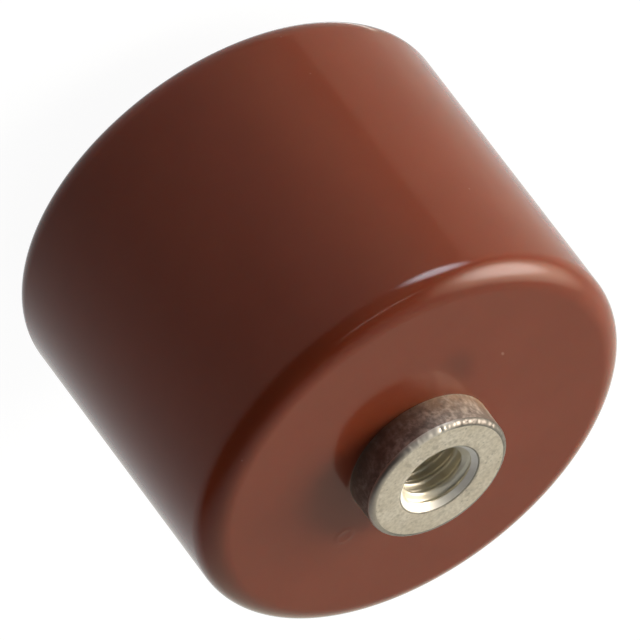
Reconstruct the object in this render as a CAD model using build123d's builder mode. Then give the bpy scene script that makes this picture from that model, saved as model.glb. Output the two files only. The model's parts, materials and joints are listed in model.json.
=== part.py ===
"""Screw-terminal ceramic disc capacitor, drum-shaped, for high voltage.

A thick ceramic disc with a silver electrode fired on each face is the working element. A turned
and tapped metal terminal is soldered on each electrode, and the whole stack is cast in red-brown
epoxy, so that only the ends of the two terminals stand out. The part stands on its lower terminal:
the origin is at the centre of that terminal's end face, and +Z runs up the capacitor's axis.
"""

import os
from math import radians, tan

from build123d import *

# Epoxy casting
body_diameter = 24.5
body_length = 19.4
body_edge_radius = 1.45
meniscus_width = 0.4
meniscus_height = 0.25

# Terminals
terminal_diameter = 8.0
terminal_projection = 2.1
terminal_edge_chamfer = 0.3
flange_overhang = 1.0
flange_thickness = 1.2
flange_edge_chamfer = 0.4

# Tapped hole in each terminal, drawn at its tapping drill size
thread_diameter = 4.0
thread_pitch = 0.7
countersink_width = 0.64
countersink_angle = 90.0
drill_point_angle = 118.0
hole_floor = 1.0

# Ceramic element
ceramic_diameter = 18.0
ceramic_thickness = 9.0
ceramic_edge_chamfer = 0.5
electrode_margin = 1.0
electrode_thickness = 0.03
solder_thickness = 0.17
solder_toe = 0.4
solder_climb = 0.35

# Radii worked out from the sizes above
body_radius = body_diameter / 2
shank_radius = terminal_diameter / 2
flange_radius = shank_radius + flange_overhang
electrode_radius = ceramic_diameter / 2 - electrode_margin
drill_radius = (thread_diameter - thread_pitch) / 2
mouth_radius = drill_radius + countersink_width

# Heights, from the lower terminal's end face up
overall_length = body_length + 2 * terminal_projection
middle = overall_length / 2
ceramic_top = middle + ceramic_thickness / 2
electrode_top = ceramic_top + electrode_thickness
solder_top = electrode_top + solder_thickness
flange_top = solder_top + flange_thickness
body_top = middle + body_length / 2
drill_point_height = drill_radius / tan(radians(drill_point_angle / 2))
hole_end = solder_top + hole_floor + drill_point_height

middle_plane = Plane.XY.offset(middle)


# Ceramic disc, with its edges bevelled as pressed and fired discs have them
with BuildPart() as ceramic_disc:
    with BuildSketch(Plane.XY.offset(ceramic_top)):
        Circle(ceramic_diameter / 2)
    extrude(amount=-ceramic_thickness)
    chamfer(ceramic_disc.edges().filter_by(GeomType.CIRCLE), length=ceramic_edge_chamfer)

# Silver electrode on the upper face, clear of the disc's edge so that it can't flash over
with BuildPart() as upper_electrode:
    with BuildSketch(Plane.XY.offset(ceramic_top)):
        Circle(electrode_radius)
    extrude(amount=electrode_thickness)

# Solder between the electrode and the terminal's flange, with its fillet round the flange
with BuildPart() as upper_solder:
    with BuildSketch(Plane.XZ):
        with BuildLine():
            Polyline(
                (0, electrode_top),
                (flange_radius + solder_toe, electrode_top),
                (flange_radius, solder_top + solder_climb),
                (flange_radius, solder_top),
                (0, solder_top),
                close=True,
            )
        make_face()
    revolve(axis=Axis.Z)

# Terminal as turned, before it is drilled: a shank on a flange that anchors it in the epoxy
with BuildPart() as terminal_blank:
    with BuildSketch(Plane.XZ):
        with BuildLine():
            Polyline(
                (0, solder_top),
                (flange_radius, solder_top),
                (flange_radius, flange_top),
                (shank_radius, flange_top),
                (shank_radius, overall_length),
                (0, overall_length),
                close=True,
            )
        make_face()
    revolve(axis=Axis.Z)
    rims = terminal_blank.edges().filter_by(GeomType.CIRCLE)
    chamfer(rims.sort_by(Axis.Z)[-1], length=terminal_edge_chamfer)
    rims = terminal_blank.edges().filter_by(GeomType.CIRCLE)
    chamfer(rims.group_by(SortBy.RADIUS)[-1].sort_by(Axis.Z)[-1], length=flange_edge_chamfer)

# Terminal with its countersunk blind hole, which ends in the drill's point
with BuildPart() as upper_terminal:
    add(terminal_blank.part)
    with Locations((0, 0, overall_length)):
        CounterSinkHole(
            radius=drill_radius,
            counter_sink_radius=mouth_radius,
            depth=overall_length - hole_end,
            counter_sink_angle=countersink_angle,
        )
    with BuildSketch(Plane.XZ):
        with BuildLine():
            Polyline(
                (0, hole_end),
                (drill_radius, hole_end),
                (0, hole_end - drill_point_height),
                close=True,
            )
        make_face()
    revolve(axis=Axis.Z, mode=Mode.SUBTRACT)

# The lower end is the upper end mirrored
with BuildPart() as lower_electrode:
    mirror(upper_electrode.part, about=middle_plane)

with BuildPart() as lower_solder:
    mirror(upper_solder.part, about=middle_plane)

with BuildPart() as lower_terminal:
    mirror(upper_terminal.part, about=middle_plane)

# Epoxy casting: its upper half, with the meniscus where the resin climbs the terminal, is mirrored
# to a whole and left with the room that the element and the terminals fill
with BuildPart() as epoxy_body:
    with BuildSketch(Plane.XZ):
        with BuildLine():
            Polyline(
                (0, middle),
                (body_radius, middle),
                (body_radius, body_top),
                (shank_radius + meniscus_width, body_top),
                (shank_radius, body_top + meniscus_height),
                (0, body_top + meniscus_height),
                close=True,
            )
        make_face()
    revolve(axis=Axis.Z)
    rims = epoxy_body.edges().filter_by(GeomType.CIRCLE)
    fillet(rims.group_by(SortBy.RADIUS)[-1].sort_by(Axis.Z)[-1], radius=body_edge_radius)
    mirror(about=middle_plane)
    add(ceramic_disc.part, mode=Mode.SUBTRACT)
    for fitting in (upper_electrode, upper_solder, terminal_blank):
        add(fitting.part, mode=Mode.SUBTRACT)
        mirror(fitting.part, about=middle_plane, mode=Mode.SUBTRACT)

pieces = {
    "epoxy_body": epoxy_body,
    "ceramic_disc": ceramic_disc,
    "upper_electrode": upper_electrode,
    "lower_electrode": lower_electrode,
    "upper_solder": upper_solder,
    "lower_solder": lower_solder,
    "upper_terminal": upper_terminal,
    "lower_terminal": lower_terminal,
}

os.makedirs("parts", exist_ok=True)
for name, piece in pieces.items():
    piece.part.label = name
    export_step(piece.part, f"parts/{name}.step")
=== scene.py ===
"""Looks of the screw-terminal ceramic disc capacitor.

A drum of glossy red-brown epoxy with a tapped, tin-plated terminal at each end, on a plain white
floor. Lengths are in metres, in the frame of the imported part: +Z runs up the drum's axis, and the
lower terminal stands on the floor at z = 0. Angles named in degrees are turned into radians where
they are used.
"""

import json
import math

import bpy
import numpy as np
from mathutils import Matrix, Vector


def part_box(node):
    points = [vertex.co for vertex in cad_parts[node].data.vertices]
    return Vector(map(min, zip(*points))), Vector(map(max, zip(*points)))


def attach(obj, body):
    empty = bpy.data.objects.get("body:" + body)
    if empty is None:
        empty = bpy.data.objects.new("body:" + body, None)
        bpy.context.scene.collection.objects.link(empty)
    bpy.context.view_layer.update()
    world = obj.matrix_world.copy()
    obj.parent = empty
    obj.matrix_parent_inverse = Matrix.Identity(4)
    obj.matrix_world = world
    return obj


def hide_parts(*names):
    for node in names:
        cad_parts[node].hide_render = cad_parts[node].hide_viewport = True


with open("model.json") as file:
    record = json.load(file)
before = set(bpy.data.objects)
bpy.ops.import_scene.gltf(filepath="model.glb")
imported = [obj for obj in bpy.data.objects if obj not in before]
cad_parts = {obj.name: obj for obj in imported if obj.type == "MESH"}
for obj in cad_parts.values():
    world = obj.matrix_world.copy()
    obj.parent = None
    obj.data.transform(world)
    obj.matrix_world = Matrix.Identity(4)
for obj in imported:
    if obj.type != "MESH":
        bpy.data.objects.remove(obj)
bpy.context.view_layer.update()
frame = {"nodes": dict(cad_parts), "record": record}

# Sizes read from the frame
mounts = {mount["name"]: mount for mount in frame["record"]["mounts"]}
body_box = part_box("epoxy_body")
ceramic_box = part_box("ceramic_disc")
electrode_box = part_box("upper_electrode")
solder_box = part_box("upper_solder")
terminal_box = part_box("upper_terminal")
body_radius = body_box[1].x
cad_meniscus_top = body_box[1].z
overall_length = terminal_box[1].z
middle = overall_length / 2
flange_radius = terminal_box[1].x
flange_base = terminal_box[0].z
ceramic_radius = ceramic_box[1].x
ceramic_top = ceramic_box[1].z
electrode_radius = electrode_box[1].x
electrode_top = electrode_box[1].z
solder_toe_radius = solder_box[1].x
solder_climb_top = solder_box[1].z
drill_radius = mounts["upper_thread"]["dims"]["r_mm"] / 1000

# Epoxy drum: its end face rises a little to a meniscus round the terminal that is lower than the CAD one
rim_radius = 0.00145
cad_meniscus_height = 0.00025
face_rise = 0.00009
meniscus_height = 0.00004
meniscus_width = 0.0003
face_height = cad_meniscus_top - cad_meniscus_height
resin_top = face_height + face_rise + meniscus_height
ceramic_bevel = 0.0005

# Terminals
shank_radius = 0.0040
shank_chamfer = 0.0003
flange_thickness = 0.0012
flange_chamfer = 0.0004
flange_top = flange_base + flange_thickness
side_unevenness = 0.000004
side_wave_turns = (3, 7, 13, 22, 31, 45)
side_wave_slant = 6000
edge_fullness = 1.08
edge_drift = 0.000020
drift_wave_turns = (1, 2, 3, 5)
bead_height = 0.000012
bead_wave_turns = (47, 61, 83, 97)
worn_edge_deg = -126.0
least_wear = 0.15

# Painted light on the terminals' chamfers, wear where they are scuffed, and painted shade on their sides:
# the way each one faces, and how far out that way it starts and is full
painted_light_deg = -50.0
painted_light_start = 0.0008
painted_light_full = 0.0028
scuffed_edge_deg = -104.0
scuffed_edge_start = 0.0034
scuffed_edge_full = 0.0039
painted_shade_deg = -45.0
painted_shade_start = 0.0014
painted_shade_full = 0.0042

# Depths below a terminal's end face at which the painted shade on its side fades and the resin film ends
painted_shade_fade_start = 0.0014
painted_shade_fade_end = 0.0004
film_depth = 0.0007
film_top = overall_length - film_depth

# Tapped hole
thread_radius = 0.0020
thread_pitch = 0.0007
thread_start_deg = 150.0
run_out_turns = 0.5
root_flat_share = 0.08
crest_flat_share = 0.12
countersink_width = 0.00064
mouth_radius = drill_radius + countersink_width
mouth_edge = 0.00004
thread_start_height = overall_length - (mouth_radius - thread_radius)
hole_floor = 0.0010
drill_point_deg = 118.0
drill_point_height = drill_radius / math.tan(math.radians(drill_point_deg / 2))
hole_end = flange_base + hole_floor + drill_point_height

# Slow waves of the cast end face, as rates along x and y in radians per metre and a phase
face_wave_height = 0.0000012
face_waves = ((820, 430, 0.7), (-510, 760, 2.1))

# Small marks of the cast end face, by their places from the origin
dimple_place = (-0.0042, -0.0038)
dimple_radius = 0.00055
dimple_depth = 0.000012
bubble_place = (0.00548, 0.00209)
bubble_radius = 0.00042
bubble_wall = 0.00015
bubble_height = 0.000018
stain_place = (-0.0042, -0.0042, 0.0216)
stain_reach = (0.0013, 0.0020, 0.0010)
fleck_place = (-0.0063, -0.0026, 0.0216)
fleck_reach = (0.00012, 0.00022, 0.0010)

# Camera, solved from the drum's outline in the photograph
camera_lens_mm = 900.0
camera_distance = 0.80376
camera_from_axis_deg = 57.703
camera_roll_deg = 52.874
camera_offset_right = 0.000055
camera_offset_up = 0.000023

# Lamps: azimuth and elevation from the middle of the upper face, then distance, size and brightness
key_azimuth_deg = 166.0
key_elevation_deg = 27.0
key_distance = 0.40
key_size = 0.40
key_radiance = 12.0
key_colour = (1.0, 0.98, 0.84)
strip_azimuth_deg = -139.0
strip_elevation_deg = -9.8
strip_distance = 0.0511
strip_width = 0.034
strip_height = 0.024
strip_radiance = 7.2
strip_colour = (0.82, 0.88, 1.0)

# Surroundings that the gloss mirrors
ceiling_axis = (0.0, 1.0, 0.45)
tube_axis = (0.0, 1.0, 0.93)
card_edge_deg = 103.0
glow_azimuth_deg = 175.0
glow_elevation_deg = 29.0
halo_azimuth_deg = 169.0
halo_elevation_deg = 30.0

# Soft light thrown back on matt surfaces
bounce_azimuth_deg = 40.0
bounce_elevation_deg = 40.0

# Floor and plain colours
floor_half_width = 3.0
black = (0, 0, 0, 1)
white = (1, 1, 1, 1)


def join_points(*parts):
    """Joins lists of profile points into one list."""
    return [point for part in parts for point in part]


def spread(first, last, count):
    """Points on the straight line from first to last, with last left out."""
    shares = np.arange(count) / count
    return [(first[0] + (last[0] - first[0]) * s, first[1] + (last[1] - first[1]) * s) for s in shares]


def arc(centre, radius_r, radius_z, start_deg, end_deg, count):
    """Points on an elliptical arc in the r, z plane, with the last one left out."""
    angles = np.radians(start_deg + (end_deg - start_deg) * np.arange(count) / count)
    return [(centre[0] + radius_r * math.cos(a), centre[1] + radius_z * math.sin(a)) for a in angles]


def wave_set(rng, turns, greatest_slant):
    """Waves round a turned surface, as turns, slant along the height and phase."""
    slants = rng.uniform(-greatest_slant, greatest_slant, len(turns))
    phases = rng.uniform(0, 2 * math.pi, len(turns))
    return list(zip(turns, slants, phases))


def wave_sum(waves, angles, height):
    """Smooth unevenness, about -1 to 1, that closes on itself round a ring."""
    total = np.zeros_like(angles)
    for turns, slant, phase in waves:
        total += math.sqrt(2 / len(waves)) * np.cos(turns * angles + slant * height + phase)
    return total


def turned_mesh(name, radii, heights, closed):
    """A turned mesh from rings of points: row k of radii and heights is ring k.

    A closed one joins its last ring to its first. An open one ends in a point on the axis at each end.
    """
    rings, count = radii.shape
    angles = 2 * math.pi * np.arange(count) / count
    points = np.stack([radii * np.cos(angles), radii * np.sin(angles), heights], axis=-1).reshape(-1, 3)
    here = np.arange(count)
    after = (here + 1) % count
    faces = []
    for ring in range(rings if closed else rings - 1):
        low = ring * count
        high = ((ring + 1) % rings) * count
        faces += np.stack([low + here, low + after, high + after, high + here], axis=1).tolist()
    if not closed:
        first_pole, last_pole = len(points), len(points) + 1
        poles = [[0, 0, heights[0].mean()], [0, 0, heights[-1].mean()]]
        points = np.vstack([points, poles])
        last_ring = (rings - 1) * count
        faces += [[first_pole, int(b), int(a)] for a, b in zip(here, after)]
        faces += [[last_pole, int(last_ring + a), int(last_ring + b)] for a, b in zip(here, after)]
    mesh = bpy.data.meshes.new(name)
    mesh.from_pydata(points.tolist(), [], faces)
    mesh.update()
    return mesh


def shade_smooth(mesh, sharp_deg):
    """Smooth shading that keeps the edges that turn by more than sharp_deg."""
    mesh.polygons.foreach_set("use_smooth", np.ones(len(mesh.polygons), dtype=bool))
    mesh.set_sharp_from_angle(angle=math.radians(sharp_deg))


def place_piece(name, mesh, slot, *nodes):
    """Adds a mesh to the scene as a piece that stands for CAD nodes."""
    piece = bpy.data.objects.new(name, mesh)
    bpy.context.scene.collection.objects.link(piece)
    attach(piece, "root")
    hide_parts(*nodes)


def epoxy_half_profile(face_rows):
    """The casting's section from its middle up over the rim, face and meniscus, and down inside."""
    rim_centre = (body_radius - rim_radius, face_height - rim_radius)
    foot_radius = shank_radius + meniscus_width
    meniscus_centre = (foot_radius, resin_top)
    face_width = rim_centre[0] - foot_radius
    inward = np.arange(face_rows) / face_rows
    side = spread((body_radius, middle), (body_radius, rim_centre[1]), count=6)
    rim = arc(rim_centre, rim_radius, rim_radius, start_deg=0, end_deg=90, count=24)
    face = [(rim_centre[0] - face_width * s, face_height + face_rise * s**2) for s in inward]
    meniscus = arc(meniscus_centre, meniscus_width, meniscus_height, start_deg=270, end_deg=180, count=6)
    inside = [
        (shank_radius, resin_top),
        (shank_radius, flange_top),
        (flange_radius - flange_chamfer, flange_top),
        (flange_radius, flange_top - flange_chamfer),
        (flange_radius, solder_climb_top),
        (solder_toe_radius, electrode_top),
        (electrode_radius, electrode_top),
        (electrode_radius, ceramic_top),
        (ceramic_radius - ceramic_bevel, ceramic_top),
        (ceramic_radius, ceramic_top - ceramic_bevel),
        (ceramic_radius, middle),
    ]
    return join_points(side, rim, face, meniscus, inside)


def face_relief(x, y):
    """Height of the upper face over its true form: slow waves, a shallow dimple and a burst bubble."""
    waves = sum(np.sin(rate_x * x + rate_y * y + phase) for rate_x, rate_y, phase in face_waves)
    dimple = np.hypot(x - dimple_place[0], y - dimple_place[1]) / dimple_radius
    bubble = (np.hypot(x - bubble_place[0], y - bubble_place[1]) - bubble_radius) / bubble_wall
    marks = bubble_height * np.exp(-bubble**2) - dimple_depth * np.exp(-dimple**2)
    return face_wave_height * waves + marks


def epoxy_casting():
    """The drum with its room for the ceramic stack, turned in one closed skin."""
    segments = 480
    upper = epoxy_half_profile(face_rows=80)
    lower = [(r, overall_length - z) for r, z in reversed(epoxy_half_profile(face_rows=12)[1:-1])]
    profile = np.array(join_points(upper, lower))
    angles = 2 * math.pi * np.arange(segments) / segments
    radii = np.repeat(profile[:, :1], segments, axis=1)
    heights = np.repeat(profile[:, 1:], segments, axis=1)
    x, y = radii * np.cos(angles), radii * np.sin(angles)
    inner_edge = shank_radius + meniscus_width
    outer_edge = body_radius - rim_radius
    share = (radii - inner_edge) / (outer_edge - inner_edge)
    on_face = (share > 0) & (share < 1) & (heights >= face_height)
    fade_rate = 8
    relief = face_relief(x, y) * np.clip(fade_rate * share * (1 - share), 0, 1)
    heights += np.where(on_face, relief, 0)
    mesh = turned_mesh("epoxy_casting", radii, heights, closed=True)
    shade_smooth(mesh, sharp_deg=40)
    mesh.materials.append(red_brown_epoxy())
    place_piece("epoxy_casting", mesh, "epoxy", "epoxy_body")


def thread_depth(angles, height):
    """How far the tapped groove reaches past the drilled hole at one height, by angle."""
    turns_up = (height - thread_start_height) / thread_pitch
    turns_round = (angles - math.radians(thread_start_deg)) / (2 * math.pi)
    turn = turns_up - turns_round
    from_groove = 2 * np.abs(turn - np.round(turn))
    flank_share = 1 - crest_flat_share - root_flat_share
    groove = np.clip((1 - crest_flat_share - from_groove) / flank_share, 0, 1)
    worn_groove = groove**2 * (3 - 2 * groove)
    run_out = np.clip((height - hole_end) / thread_pitch - run_out_turns, 0, 1)
    return (thread_radius - drill_radius) * worn_groove * run_out


def terminal_rings(rng):
    """Rings of the upper terminal from its base round the outside and down the tapped hole.

    Returns radii, heights and, for each ring, the finish of the band that starts there.
    """
    segments = 256
    angles = 2 * math.pi * np.arange(segments) / segments
    rings = []

    def ring(radius, height, finish):
        rings.append((radius + 0 * angles, height + 0 * angles, finish))

    ring(flange_radius, flange_base, "side")
    ring(flange_radius, flange_top - flange_chamfer, "side")
    ring(flange_radius - flange_chamfer, flange_top, "side")
    ring(shank_radius, flange_top, "side")
    ring(shank_radius, face_height, "side")

    chamfer_foot = overall_length - shank_chamfer
    side_rows = 16
    side_waves = wave_set(rng, side_wave_turns, side_wave_slant)
    for row in range(1, side_rows):
        height = face_height + (chamfer_foot - face_height) * row / side_rows
        ring(shank_radius - side_unevenness * (1 + wave_sum(side_waves, angles, height)), height, "side")

    edge_rows = 8
    bead_waves = wave_set(rng, bead_wave_turns, 0)
    drift_waves = wave_set(rng, drift_wave_turns, 0)
    towards_wear = 0.5 + 0.5 * np.cos(angles - math.radians(worn_edge_deg))
    worn = least_wear + (1 - least_wear) * towards_wear**3
    bead = bead_height * worn * wave_sum(bead_waves, angles, 0)
    drift = edge_drift * wave_sum(drift_waves, angles, 0)
    for row in range(edge_rows + 1):
        turn = math.pi / 2 * row / edge_rows
        swell = math.sin(2 * turn)
        rounded = shank_radius - shank_chamfer * (1 - math.cos(turn) ** edge_fullness)
        radius = rounded + swell * (bead + drift)
        height = chamfer_foot + shank_chamfer * math.sin(turn) ** edge_fullness + swell * bead
        ring(radius, np.minimum(height, overall_length), "edge" if row < edge_rows else "face")

    face_rows = 8
    face_outer = shank_radius - shank_chamfer
    face_inner = mouth_radius + mouth_edge
    for row in range(1, face_rows + 1):
        share = row / face_rows
        radius = face_outer + (face_inner - face_outer) * share
        ring(radius, overall_length, "face" if share < 1 else "mouth")

    hole_rows = 220
    for row in range(hole_rows + 1):
        height = overall_length - mouth_edge - (overall_length - mouth_edge - hole_end) * row / hole_rows
        countersink = drill_radius + height - (overall_length - countersink_width)
        finish = "cone" if height > thread_start_height else "hole"
        ring(np.maximum(drill_radius + thread_depth(angles, height), countersink), height, finish)
    for share in (0.5, 0.02):
        ring(drill_radius * share, hole_end - drill_point_height * (1 - share), "hole")
    radii, heights, finishes = zip(*rings)
    return np.array(radii), np.array(heights), finishes


def terminal_finishes():
    """The terminals' materials by the bands that they cover, in the order of their slots."""
    return {
        "side": stained_plate(),
        "edge": bright_edge(),
        "face": dull_plate(),
        "mouth": painted_shade_mouth(),
        "cone": plated_cone(),
        "hole": cut_thread(),
    }


def terminal(name, node, finishes, seed, turn_over):
    """One tapped terminal. The lower one is the same piece turned upside down about the X axis."""
    slot_of = {finish: slot for slot, finish in enumerate(finishes)}
    radii, heights, bands = terminal_rings(np.random.default_rng(seed))
    mesh = turned_mesh(name, radii, heights, closed=False)
    segments = radii.shape[1]
    band_slots = np.array([slot_of[band] for band in bands[:-1]])
    slots = np.full(len(mesh.polygons), slot_of["hole"])
    slots[: band_slots.size * segments] = np.repeat(band_slots, segments)
    slots[-2 * segments : -segments] = slot_of["side"]
    mesh.polygons.foreach_set("material_index", slots)
    if turn_over:
        over = Matrix.Translation((0, 0, overall_length)) @ Matrix.Rotation(math.pi, 4, "X")
        mesh.transform(over)
    shade_smooth(mesh, sharp_deg=35)
    for material in finishes.values():
        mesh.materials.append(material)
    place_piece(name, mesh, "terminal", node)


def set_inputs(tree, node, inputs):
    """Sets a node's inputs, by name or number, to values or links them to sockets."""
    for name, value in inputs.items():
        if isinstance(value, bpy.types.NodeSocket):
            tree.links.new(value, node.inputs[name])
        else:
            node.inputs[name].default_value = value


def add_node(tree, kind, settings=None, inputs=None):
    """Adds a shader node, with its settings, and its inputs as values or as sockets to link."""
    made = tree.nodes.new("ShaderNode" + kind)
    for name, value in (settings or {}).items():
        setattr(made, name, value)
    set_inputs(tree, made, inputs or {})
    return made


def calc(tree, operation, first, second=0.0):
    """One Math node, as its output socket."""
    inputs = {0: first, 1: second}
    return add_node(tree, "Math", {"operation": operation}, inputs).outputs[0]


def blend_colours(tree, share, first, second):
    """The colour first where share is 0 and second where it is 1."""
    inputs = {0: share, 6: first, 7: second}
    return add_node(tree, "Mix", {"data_type": "RGBA"}, inputs).outputs[2]


def mix_colours(tree, way, first, second):
    """Two colours put together whole, in one of the Mix node's ways."""
    settings = {"data_type": "RGBA", "blend_type": way}
    return add_node(tree, "Mix", settings, {0: 1.0, 6: first, 7: second}).outputs[2]


def map_range(tree, value, from_low, from_high, to_low=0.0, to_high=1.0, smooth=False):
    """Turns one range of values into another, clamped at both ends."""
    inputs = {
        "Value": value,
        "From Min": from_low,
        "From Max": from_high,
        "To Min": to_low,
        "To Max": to_high,
    }
    settings = {"interpolation_type": "SMOOTHSTEP" if smooth else "LINEAR"}
    return add_node(tree, "MapRange", settings, inputs).outputs[0]


def direction_to(azimuth_deg, elevation_deg):
    """The unit vector that points at an azimuth and an elevation."""
    azimuth, elevation = math.radians(azimuth_deg), math.radians(elevation_deg)
    level = math.cos(elevation)
    return Vector((level * math.cos(azimuth), level * math.sin(azimuth), math.sin(elevation)))


def along(tree, vector, axis):
    """How far a vector socket reaches along a fixed axis."""
    dot = add_node(tree, "VectorMath", {"operation": "DOT_PRODUCT"}, {0: vector, 1: axis})
    return dot.outputs["Value"]


def effect_group(name, inputs, outputs):
    """A new shader node group with float inputs, given with their defaults, and float outputs."""
    tree = bpy.data.node_groups.new(name, "ShaderNodeTree")
    for label, default in inputs.items():
        socket = tree.interface.new_socket(label, in_out="INPUT", socket_type="NodeSocketFloat")
        socket.default_value = default
    for label in outputs:
        tree.interface.new_socket(label, in_out="OUTPUT", socket_type="NodeSocketFloat")
    return tree, tree.nodes.new("NodeGroupInput"), tree.nodes.new("NodeGroupOutput")


def clouds_group():
    """Soft patches: a noise mask, cut between two levels."""
    inputs = {"Scale": 500, "Low": 0.35, "High": 0.65}
    tree, given, result = effect_group("soft_patches", inputs, ["Mask"])
    place = add_node(tree, "TexCoord").outputs["Object"]
    noise_inputs = {"Vector": place, "Scale": given.outputs["Scale"], "Detail": 4.0}
    noise = add_node(tree, "TexNoise", {}, noise_inputs)
    mask = map_range(tree, noise.outputs[0], given.outputs["Low"], given.outputs["High"])
    tree.links.new(mask, result.inputs["Mask"])
    return tree


def specks_group():
    """Scattered round specks: 1 in the middle of some cells, 0 elsewhere."""
    inputs = {"Scale": 3000, "Size": 0.2, "Share": 0.3}
    tree, given, result = effect_group("scattered_specks", inputs, ["Mask"])
    place = add_node(tree, "TexCoord").outputs["Object"]
    cells = add_node(tree, "TexVoronoi", {}, {"Vector": place, "Scale": given.outputs["Scale"]})
    inside = map_range(tree, cells.outputs["Distance"], given.outputs["Size"], 0.0)
    draw = add_node(tree, "SeparateColor", {}, {"Color": cells.outputs["Color"]}).outputs[0]
    chosen = calc(tree, "LESS_THAN", draw, given.outputs["Share"])
    tree.links.new(calc(tree, "MULTIPLY", inside, chosen), result.inputs["Mask"])
    return tree


soft_patches = clouds_group()
scattered_specks = specks_group()


def place_group(tree, group, **inputs):
    """Puts an effect group in a material with its own values, as its mask socket."""
    return add_node(tree, "Group", {"node_tree": group}, inputs).outputs["Mask"]


def new_material(name):
    """An empty node material with its output, as the material, its tree and its Principled shader."""
    material = bpy.data.materials.new(name)
    material.use_nodes = True
    tree = material.node_tree
    return material, tree, tree.nodes["Principled BSDF"]


def tint(tree, mask, strength, base, colour):
    """The base colour with another laid over it where the mask is, at a strength up to 1."""
    return blend_colours(tree, calc(tree, "MULTIPLY", mask, strength), base, colour)


def spot_mask(tree, place, reach):
    """One soft spot: 1 at a place on the part, falling to 0 at its reach along each axis."""
    here = add_node(tree, "TexCoord").outputs["Object"]
    offset = add_node(tree, "VectorMath", {"operation": "SUBTRACT"}, {0: here, 1: place}).outputs[0]
    scaled = add_node(tree, "VectorMath", {"operation": "DIVIDE"}, {0: offset, 1: reach}).outputs[0]
    away = add_node(tree, "VectorMath", {"operation": "LENGTH"}, {0: scaled}).outputs["Value"]
    return map_range(tree, away, 1.0, 0.1, smooth=True)


def fine_bump(tree, height, distance):
    """A Bump node's normal for a height from 0 to 1 that stands for a real distance."""
    inputs = {"Height": height, "Distance": distance, "Strength": 1.0}
    return add_node(tree, "Bump", {}, inputs).outputs[0]


def red_brown_epoxy():
    """Glossy pigmented casting epoxy, with faint clouds in its colour and a trace of dust."""
    material, tree, shader = new_material("red_brown_epoxy")
    clouds = place_group(tree, soft_patches, Scale=260, Low=0.3, High=0.7)
    grain = place_group(tree, soft_patches, Scale=2600, Low=0.2, High=0.8)
    dust = place_group(tree, scattered_specks, Scale=700, Size=0.05, Share=0.12)
    body = blend_colours(tree, clouds, (0.205, 0.0395, 0.0160, 1), (0.220, 0.0440, 0.0185, 1))
    stain = spot_mask(tree, stain_place, stain_reach)
    stained = tint(tree, stain, 0.55, body, (0.135, 0.026, 0.012, 1))
    fleck = spot_mask(tree, fleck_place, fleck_reach)
    flecked = tint(tree, fleck, 0.4, stained, (0.50, 0.30, 0.22, 1))
    surface = {
        "Base Color": tint(tree, dust, 0.25, flecked, (0.55, 0.42, 0.36, 1)),
        "Roughness": map_range(tree, clouds, 0.0, 1.0, 0.11, 0.14),
        "IOR": 1.5,
        "Subsurface Weight": 0.8,
        "Subsurface Radius": (1.0, 0.3, 0.15),
        "Subsurface Scale": 0.0010,
        "Normal": fine_bump(tree, grain, 0.0000008),
    }
    set_inputs(tree, shader, surface)
    return material


def dull_plate():
    """Tin plate on the terminal's end face: pale, dull and finely speckled."""
    material, tree, shader = new_material("dull_tin_plate")
    clouds = place_group(tree, soft_patches, Scale=900, Low=0.3, High=0.7)
    grain = place_group(tree, soft_patches, Scale=5200, Low=0.35, High=0.70)
    pits = place_group(tree, scattered_specks, Scale=3800, Size=0.32, Share=0.25)
    scuffs = place_group(tree, soft_patches, Scale=1700, Low=0.58, High=0.72)
    plate = blend_colours(tree, clouds, (0.70, 0.62, 0.51, 1), (0.84, 0.77, 0.67, 1))
    grained = tint(tree, grain, 0.6, plate, (0.50, 0.44, 0.36, 1))
    scuffed = tint(tree, scuffs, 0.55, grained, (0.40, 0.35, 0.28, 1))
    surface = {
        "Base Color": tint(tree, pits, 0.7, scuffed, (0.24, 0.21, 0.17, 1)),
        "Metallic": 0.6,
        "Roughness": map_range(tree, grain, 0.0, 1.0, 0.42, 0.55),
        "Normal": fine_bump(tree, grain, 0.0000025),
    }
    set_inputs(tree, shader, surface)
    return material


def bright_edge():
    """The terminal's chamfer: plate burnished by handling and lighter where it is scuffed, with painted
    light lifting its colour on the side away from the key lamp.
    """
    material, tree, shader = new_material("burnished_edge")
    grain = place_group(tree, soft_patches, Scale=6000, Low=0.25, High=0.75)
    plate = blend_colours(tree, grain, (0.27, 0.25, 0.23, 1), (0.18, 0.165, 0.15, 1))
    place = add_node(tree, "TexCoord").outputs["Object"]
    # Painted light: the chamfer's colour is lifted on the side away from the key lamp, where it shows no
    # highlight.
    painted_light_reach = along(tree, place, direction_to(painted_light_deg, 0))
    painted_light = map_range(tree, painted_light_reach, painted_light_start, painted_light_full)
    at_scuff = along(tree, place, direction_to(scuffed_edge_deg, 0))
    scuffed = map_range(tree, at_scuff, scuffed_edge_start, scuffed_edge_full)
    with_painted_light = tint(tree, painted_light, 0.6, plate, (0.80, 0.70, 0.60, 1))
    surface = {
        "Base Color": tint(tree, scuffed, 0.8, with_painted_light, (0.86, 0.80, 0.72, 1)),
        "Metallic": map_range(tree, scuffed, 0.0, 1.0, 0.75, 0.25),
        "Roughness": map_range(tree, grain, 0.0, 1.0, 0.29, 0.42),
        "Normal": fine_bump(tree, grain, 0.0000040),
    }
    set_inputs(tree, shader, surface)
    return material


def painted_shade_mouth():
    """The hole's deburred mouth: a hair-thin line with painted shade round the hole's edge."""
    material, tree, shader = new_material("mouth_painted_shade")
    clouds = place_group(tree, soft_patches, Scale=2400, Low=0.3, High=0.7)
    # Painted shade: the thin ring round the hole's edge is coloured dark.
    surface = {
        "Base Color": blend_colours(tree, clouds, (0.20, 0.18, 0.15, 1), (0.38, 0.35, 0.30, 1)),
        "Metallic": 0.4,
        "Roughness": 0.55,
    }
    set_inputs(tree, shader, surface)
    return material


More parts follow.
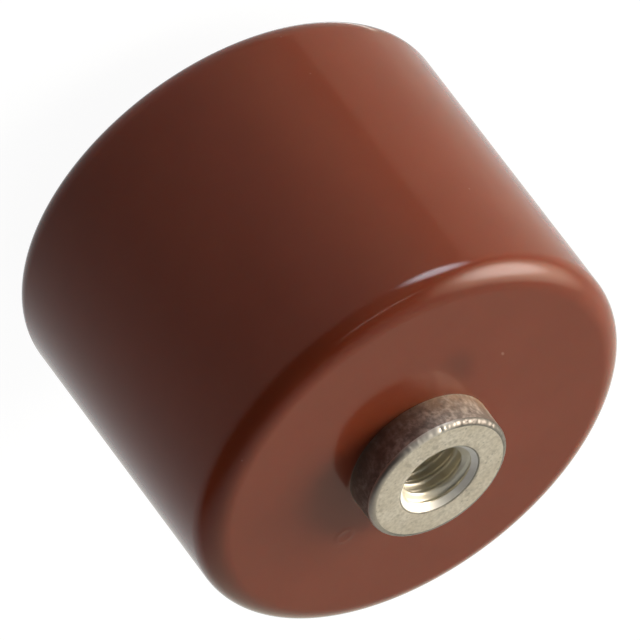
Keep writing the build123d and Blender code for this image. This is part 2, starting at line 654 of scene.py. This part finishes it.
def plated_cone():
    """The countersink: the end face's plate over a turned cone, a little brighter."""
    material, tree, shader = new_material("plated_countersink")
    clouds = place_group(tree, soft_patches, Scale=1800, Low=0.3, High=0.7)
    surface = {
        "Base Color": blend_colours(tree, clouds, (0.86, 0.83, 0.78, 1), (0.94, 0.92, 0.89, 1)),
        "Metallic": 0.3,
        "Roughness": map_range(tree, clouds, 0.0, 1.0, 0.45, 0.55),
    }
    set_inputs(tree, shader, surface)
    return material


def stained_plate():
    """The terminal's side: the same plate, mottled and stained by flux and resin, with painted shade on
    the side away from the key lamp.
    """
    material, tree, shader = new_material("stained_tin_plate")
    stains = place_group(tree, soft_patches, Scale=1500, Low=0.35, High=0.62)
    grain = place_group(tree, soft_patches, Scale=4200, Low=0.38, High=0.62)
    pits = place_group(tree, scattered_specks, Scale=3000, Size=0.35, Share=0.3)
    film_patches = place_group(tree, soft_patches, Scale=1100, Low=0.25, High=0.55)
    place = add_node(tree, "TexCoord").outputs["Object"]
    height = add_node(tree, "SeparateXYZ", {}, {0: place}).outputs["Z"]
    from_middle = calc(tree, "ABSOLUTE", calc(tree, "SUBTRACT", height, middle))
    foot = map_range(tree, from_middle, film_top - middle, face_height - middle)
    film = calc(tree, "MULTIPLY", foot, film_patches)
    # Painted shade: the side away from the key lamp is coloured darker, less so near the end face.
    painted_shade_axis = direction_to(painted_shade_deg, 0)
    painted_shade_mask = map_range(tree, along(tree, place, painted_shade_axis), painted_shade_start, painted_shade_full)
    fade_start = middle - painted_shade_fade_start
    fade_end = middle - painted_shade_fade_end
    painted_shade_fade = map_range(tree, from_middle, fade_start, fade_end, 1.0, 0.55)
    painted_shade = calc(tree, "MULTIPLY", painted_shade_mask, painted_shade_fade)
    plate = blend_colours(tree, stains, (0.27, 0.230, 0.195, 1), (0.68, 0.60, 0.52, 1))
    grained = tint(tree, grain, 0.72, plate, (0.22, 0.185, 0.165, 1))
    filmed = tint(tree, film, 0.8, grained, (0.40, 0.23, 0.13, 1))
    with_painted_shade = tint(tree, painted_shade, 0.56, filmed, (0.062, 0.046, 0.037, 1))
    surface = {
        "Base Color": tint(tree, pits, 0.6, with_painted_shade, (0.13, 0.10, 0.085, 1)),
        "Metallic": calc(tree, "SUBTRACT", 0.5, calc(tree, "MULTIPLY", film, 0.4)),
        "Roughness": map_range(tree, stains, 0.0, 1.0, 0.45, 0.60),
        "Normal": fine_bump(tree, grain, 0.000006),
    }
    set_inputs(tree, shader, surface)
    return material


def cut_thread():
    """The tapped hole: bright cut metal with tool marks."""
    material, tree, shader = new_material("bright_cut_thread")
    clouds = place_group(tree, soft_patches, Scale=1800, Low=0.3, High=0.7)
    surface = {
        "Base Color": blend_colours(tree, clouds, (0.72, 0.675, 0.56, 1), (0.82, 0.785, 0.68, 1)),
        "Metallic": 0.65,
        "Roughness": map_range(tree, clouds, 0.0, 1.0, 0.30, 0.38),
    }
    set_inputs(tree, shader, surface)
    return material


def fired_ceramic():
    """The dielectric: matt, cream-brown and finely speckled."""
    material, tree, shader = new_material("fired_ceramic")
    clouds = place_group(tree, soft_patches, Scale=400, Low=0.3, High=0.7)
    specks = place_group(tree, scattered_specks, Scale=2500, Size=0.25, Share=0.2)
    body = blend_colours(tree, clouds, (0.58, 0.50, 0.40, 1), (0.66, 0.58, 0.48, 1))
    speckled = tint(tree, specks, 0.5, body, (0.40, 0.33, 0.25, 1))
    roughness = map_range(tree, clouds, 0.0, 1.0, 0.60, 0.75)
    set_inputs(tree, shader, {"Base Color": speckled, "Roughness": roughness})
    return material


def fired_silver():
    """The electrodes: screened and fired silver, satin with a faint grain."""
    material, tree, shader = new_material("fired_silver")
    grain = place_group(tree, soft_patches, Scale=5000, Low=0.25, High=0.75)
    surface = {
        "Base Color": blend_colours(tree, grain, (0.78, 0.77, 0.74, 1), (0.88, 0.87, 0.85, 1)),
        "Metallic": 1.0,
        "Roughness": map_range(tree, grain, 0.0, 1.0, 0.35, 0.50),
    }
    set_inputs(tree, shader, surface)
    return material


def soft_solder():
    """The solder: grey, with clouded bright and dull patches."""
    material, tree, shader = new_material("soft_solder")
    clouds = place_group(tree, soft_patches, Scale=1200, Low=0.3, High=0.7)
    surface = {
        "Base Color": blend_colours(tree, clouds, (0.52, 0.52, 0.53, 1), (0.68, 0.68, 0.68, 1)),
        "Metallic": 1.0,
        "Roughness": map_range(tree, clouds, 0.0, 1.0, 0.22, 0.42),
    }
    set_inputs(tree, shader, surface)
    return material


def finish_node(material, *nodes):
    """Gives CAD nodes that stay as they are their material."""
    for name in nodes:
        mesh = frame["nodes"][name].data
        mesh.materials.clear()
        mesh.materials.append(material)


def white_floor():
    """A plain floor: white in the picture, with a faint shadow, and grey for the light it throws back."""
    half = floor_half_width
    corners = [(-half, -half, 0), (half, -half, 0), (half, half, 0), (-half, half, 0)]
    mesh = bpy.data.meshes.new("white_floor")
    mesh.from_pydata(corners, [], [(0, 1, 2, 3)])
    floor = bpy.data.objects.new("white_floor", mesh)
    bpy.context.scene.collection.objects.link(floor)
    material, tree, shader = new_material("white_floor")
    tree.nodes.remove(shader)
    lit = add_node(tree, "BsdfDiffuse", {}, {"Color": (0.60, 0.60, 0.60, 1)})
    shadow_keeper = add_node(tree, "BsdfDiffuse", {}, {"Color": (0.08, 0.08, 0.08, 1)})
    shine = add_node(tree, "Emission", {}, {"Color": white, "Strength": 0.95})
    picture = add_node(tree, "AddShader", {}, {0: shine.outputs[0], 1: shadow_keeper.outputs[0]})
    ray = add_node(tree, "LightPath")
    shown = {0: ray.outputs["Is Camera Ray"], 1: lit.outputs[0], 2: picture.outputs[0]}
    surface = add_node(tree, "MixShader", {}, shown)
    tree.links.new(surface.outputs[0], tree.nodes["Material Output"].inputs["Surface"])
    mesh.materials.append(material)
    floor.visible_glossy = False
    floor.visible_transmission = False


def glow_towards(tree, place, direction, outer_deg, inner_deg, strength):
    """A round glow in the surroundings: full inside one angle from its middle, gone outside another."""
    nearness = along(tree, place, direction)
    outer, inner = math.cos(math.radians(outer_deg)), math.cos(math.radians(inner_deg))
    return map_range(tree, nearness, outer, inner, 0.0, strength, smooth=True)


def room_brightness(tree, place, towards, below):
    """The plain room: a pale ceiling and a low glow behind, a hazy lit side, and the ground below."""
    behind = calc(tree, "MAXIMUM", towards["Y"], 0.0)
    ceiling = map_range(tree, along(tree, place, ceiling_axis), 0.15, 0.92, 0.0, 0.48)
    low_glow = map_range(tree, towards["Z"], 0.5, 0.0, 0.0, 0.47)
    glow = calc(tree, "MULTIPLY", calc(tree, "POWER", behind, 8.0), low_glow)
    lit_side = calc(tree, "MAXIMUM", calc(tree, "MULTIPLY", towards["X"], -1.0), 0.0)
    haze = calc(tree, "MULTIPLY", lit_side, 0.2)
    upper = calc(tree, "ADD", calc(tree, "ADD", ceiling, glow), haze)

    across = calc(tree, "ADD", calc(tree, "MULTIPLY", towards["X"], -0.127), 0.40)
    away = calc(tree, "ADD", across, calc(tree, "MULTIPLY", towards["Y"], 0.224))
    ground = calc(tree, "ADD", away, calc(tree, "MULTIPLY", calc(tree, "POWER", behind, 4.0), 0.41))
    step = calc(tree, "MULTIPLY", calc(tree, "SUBTRACT", ground, upper), below)
    return calc(tree, "ADD", upper, step)


def tube_brightness(tree, place, towards):
    """A thin tube lamp on the lit side, which fades at both ends."""
    from_tube = calc(tree, "ABSOLUTE", along(tree, place, tube_axis))
    tube_line = map_range(tree, from_tube, 0.04, 0.0, smooth=True)
    tube_start = map_range(tree, towards["X"], 0.0, -0.25, 0.0, 3.2)
    tube_end = map_range(tree, towards["X"], -0.66, -0.50)
    return calc(tree, "MULTIPLY", tube_line, calc(tree, "MULTIPLY", tube_start, tube_end))


def card_and_gap(tree, place, towards, below):
    """A card low on the lit side, as the glow inside its edge and the darker gap outside it."""
    past_edge = along(tree, place, direction_to(card_edge_deg, 0))
    on_card = map_range(tree, past_edge, -0.012, 0.012)
    off_card = calc(tree, "SUBTRACT", 1.0, on_card)
    low_side = calc(tree, "MULTIPLY", below, map_range(tree, towards["X"], -0.3, -0.6))
    card_fade = map_range(tree, past_edge, 0.34, 0.0, 0.0, 0.2)
    gap_fade = map_range(tree, past_edge, -0.34, 0.0, 0.0, 0.45)
    card = calc(tree, "MULTIPLY", low_side, calc(tree, "MULTIPLY", on_card, card_fade))
    gap = calc(tree, "MULTIPLY", low_side, calc(tree, "MULTIPLY", off_card, gap_fade))
    return card, gap


def mirrored_tone(tree, place, towards):
    """The colour of the mirrored room: cream at the ceiling and on the lit side, white elsewhere."""
    at_ceiling = map_range(tree, along(tree, place, ceiling_axis), 0.5, 0.9)
    warm_side = map_range(tree, towards["X"], -0.2, -0.6)
    cream = calc(tree, "MAXIMUM", at_ceiling, warm_side)
    return blend_colours(tree, cream, white, (1.0, 1.0, 0.85, 1))


def studio_surroundings():
    """The world: white in the picture, and for gloss a room that is pale behind and dark in front.

    Gloss also sees the key lamp's glow, a tube and the edge of a card there. Matt surfaces are lit by
    the plain room and a soft bounce.
    """
    world = bpy.data.worlds.new("studio_surroundings")
    bpy.context.scene.world = world
    world.use_nodes = True
    tree = world.node_tree
    place = add_node(tree, "TexCoord").outputs["Generated"]
    towards = add_node(tree, "SeparateXYZ", {}, {0: place}).outputs
    below = map_range(tree, towards["Z"], 0.0, -0.3)
    room = room_brightness(tree, place, towards, below)

    # What gloss sees
    card, gap = card_and_gap(tree, place, towards, below)
    shaded_room = calc(tree, "MULTIPLY", room, calc(tree, "SUBTRACT", 1.0, gap))
    mirrored = calc(tree, "ADD", shaded_room, tube_brightness(tree, place, towards))
    card_light = blend_colours(tree, card, black, (1.0, 0.40, 0.24, 1))
    halo_way = direction_to(halo_azimuth_deg, halo_elevation_deg)
    halo = glow_towards(tree, place, halo_way, outer_deg=40, inner_deg=1, strength=0.36)
    halo_light = blend_colours(tree, halo, black, (9.2, 7.6, 5.8, 1))
    lamp_way = direction_to(glow_azimuth_deg, glow_elevation_deg)
    lamp = glow_towards(tree, place, lamp_way, outer_deg=25, inner_deg=1, strength=0.56)
    lamp_light = blend_colours(tree, lamp, black, (9.2, 8.4, 8.0, 1))
    toned_room = mix_colours(tree, "MULTIPLY", mirrored, mirrored_tone(tree, place, towards))
    with_card = mix_colours(tree, "ADD", toned_room, card_light)
    with_halo = mix_colours(tree, "ADD", with_card, halo_light)
    seen = mix_colours(tree, "ADD", with_halo, lamp_light)

    # What lights matt surfaces
    bounce_way = direction_to(bounce_azimuth_deg, bounce_elevation_deg)
    bounce = calc(tree, "MAXIMUM", along(tree, place, bounce_way), 0.0)
    fill = calc(tree, "ADD", calc(tree, "MULTIPLY", calc(tree, "POWER", bounce, 2.0), 0.45), 0.002)
    light = calc(tree, "ADD", calc(tree, "MULTIPLY", room, 0.95), fill)

    ray = add_node(tree, "LightPath").outputs
    mirror_ray = calc(tree, "MAXIMUM", ray["Is Glossy Ray"], ray["Is Transmission Ray"])
    picture_ray = calc(tree, "MAXIMUM", ray["Is Camera Ray"], mirror_ray)
    backdrop = blend_colours(tree, ray["Is Camera Ray"], seen, white)
    colour = blend_colours(tree, picture_ray, light, backdrop)
    tree.links.new(colour, tree.nodes["Background"].inputs["Color"])


def soften_lamp(lamp):
    """Makes a lamp fade from its bright middle to its edges, as a softbox does."""
    lamp.use_nodes = True
    tree = lamp.node_tree
    place = add_node(tree, "NewGeometry").outputs["Parametric"]
    from_middle = add_node(tree, "VectorMath", {"operation": "DISTANCE"}, {0: place, 1: (0.5, 0.5, 0.0)})
    edge_share, core_share = 0.5, 0.14
    strength = map_range(tree, from_middle.outputs["Value"], edge_share, core_share, smooth=True)
    tree.links.new(strength, tree.nodes["Emission"].inputs["Strength"])


def softbox(name, direction, distance, width, height, radiance, colour, mirrored):
    """A soft-edged lamp that faces the middle of the upper face, by its direction, size and brightness."""
    target = Vector((0, 0, face_height))
    lamp = bpy.data.lights.new(name, "AREA")
    lamp.shape = "RECTANGLE"
    lamp.size = width
    lamp.size_y = height
    lamp.energy = radiance * math.pi * width * height
    lamp.color = colour
    soften_lamp(lamp)
    holder = bpy.data.objects.new(name, lamp)
    holder.location = target + distance * direction
    holder.rotation_euler = (-direction).to_track_quat("-Z", "Y").to_euler()
    holder.visible_camera = False
    holder.visible_glossy = mirrored
    bpy.context.scene.collection.objects.link(holder)


def photo_camera():
    """The camera at the photograph's viewing angle, rolled as it is there."""
    tilt = math.radians(camera_from_axis_deg)
    roll = math.radians(camera_roll_deg)
    back = Vector((0, -math.sin(tilt), math.cos(tilt)))
    level_right = Vector((1, 0, 0))
    level_up = Vector((0, math.cos(tilt), math.sin(tilt)))
    right = -math.sin(roll) * level_right + math.cos(roll) * level_up
    up = -math.cos(roll) * level_right - math.sin(roll) * level_up
    centre = Vector((0, 0, middle))
    place = centre + camera_offset_right * right + camera_offset_up * up + camera_distance * back
    camera = bpy.data.cameras.new("photo_camera")
    camera.lens = camera_lens_mm
    holder = bpy.data.objects.new("photo_camera", camera)
    turn = Matrix((right, up, back)).transposed().to_4x4()
    holder.matrix_world = Matrix.Translation(place) @ turn
    bpy.context.scene.collection.objects.link(holder)
    bpy.context.scene.camera = holder


epoxy_casting()
plated_finishes = terminal_finishes()
terminal("upper_tapped_terminal", "upper_terminal", plated_finishes, seed=3, turn_over=False)
terminal("lower_tapped_terminal", "lower_terminal", plated_finishes, seed=8, turn_over=True)
finish_node(fired_ceramic(), "ceramic_disc")
finish_node(fired_silver(), "upper_electrode", "lower_electrode")
finish_node(soft_solder(), "upper_solder", "lower_solder")

white_floor()
studio_surroundings()
softbox(
    "key_softbox",
    direction_to(key_azimuth_deg, key_elevation_deg),
    distance=key_distance,
    width=key_size,
    height=key_size,
    radiance=key_radiance,
    colour=key_colour,
    mirrored=False,
)
softbox(
    "side_strip",
    direction_to(strip_azimuth_deg, strip_elevation_deg),
    distance=strip_distance,
    width=strip_width,
    height=strip_height,
    radiance=strip_radiance,
    colour=strip_colour,
    mirrored=True,
)
photo_camera()

scene = bpy.context.scene
scene.view_settings.view_transform = "Standard"
